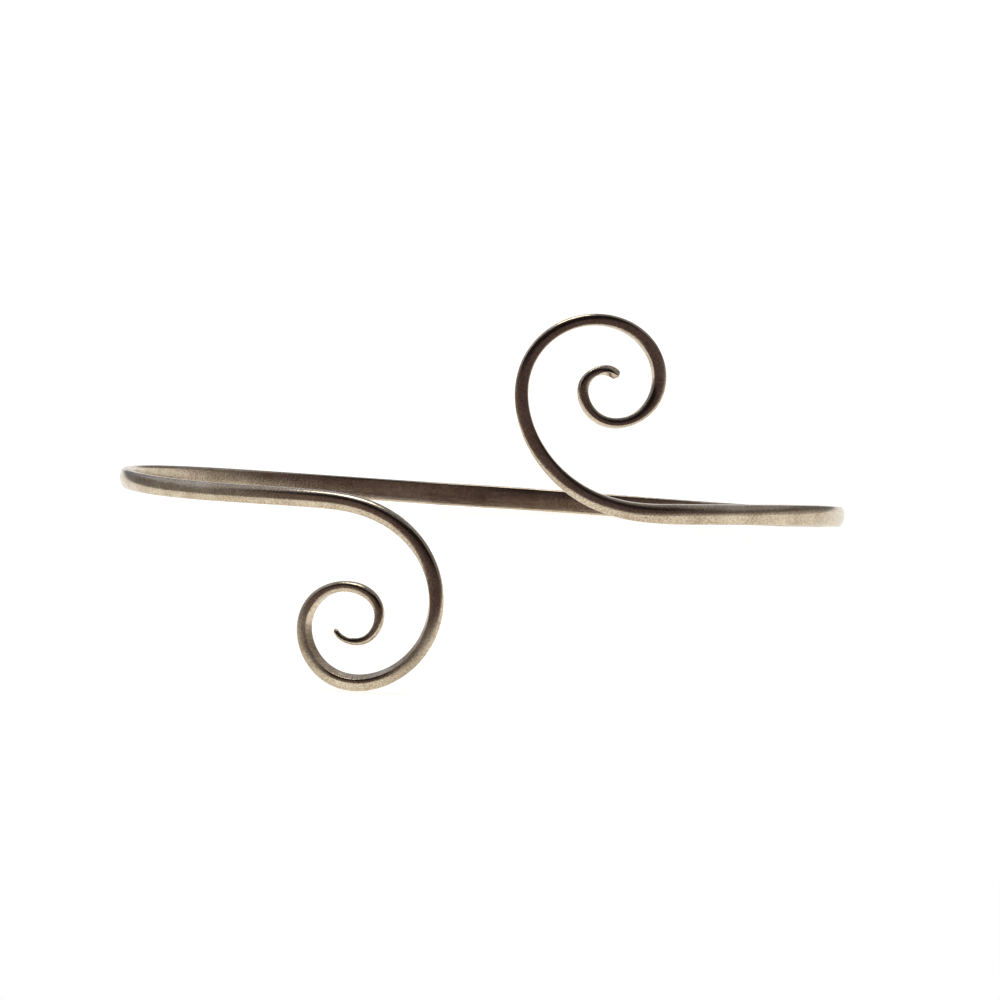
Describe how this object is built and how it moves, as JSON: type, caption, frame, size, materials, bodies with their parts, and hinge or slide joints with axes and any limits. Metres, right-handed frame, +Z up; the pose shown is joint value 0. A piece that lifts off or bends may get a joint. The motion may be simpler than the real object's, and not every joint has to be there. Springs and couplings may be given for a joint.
{
  "type": "cuff bracelet",
  "caption": "Open cuff bracelet of one forged metal bar, round the back of an oval and out at the front into two opposed tapering scrolls, one curling down and one curling up.",
  "frame": {"origin": "on the table under the middle of the bounding box, with the cuff lying as it rests by itself, on the lower scroll and the back of the band", "axes": "+X across the front to the arm of the upper scroll, on the right as a viewer in front of the cuff sees it; +Y from the front to the back; +Z up"},
  "size_m": [0.0628, 0.0518, 0.0297],
  "materials": {
    "metal": "warm silver-tone metal, satin, with fine streaks along the bar"
  },
  "bodies": {
    "root": {"swirl_cuff": "metal"}
  },
  "joints": []
}
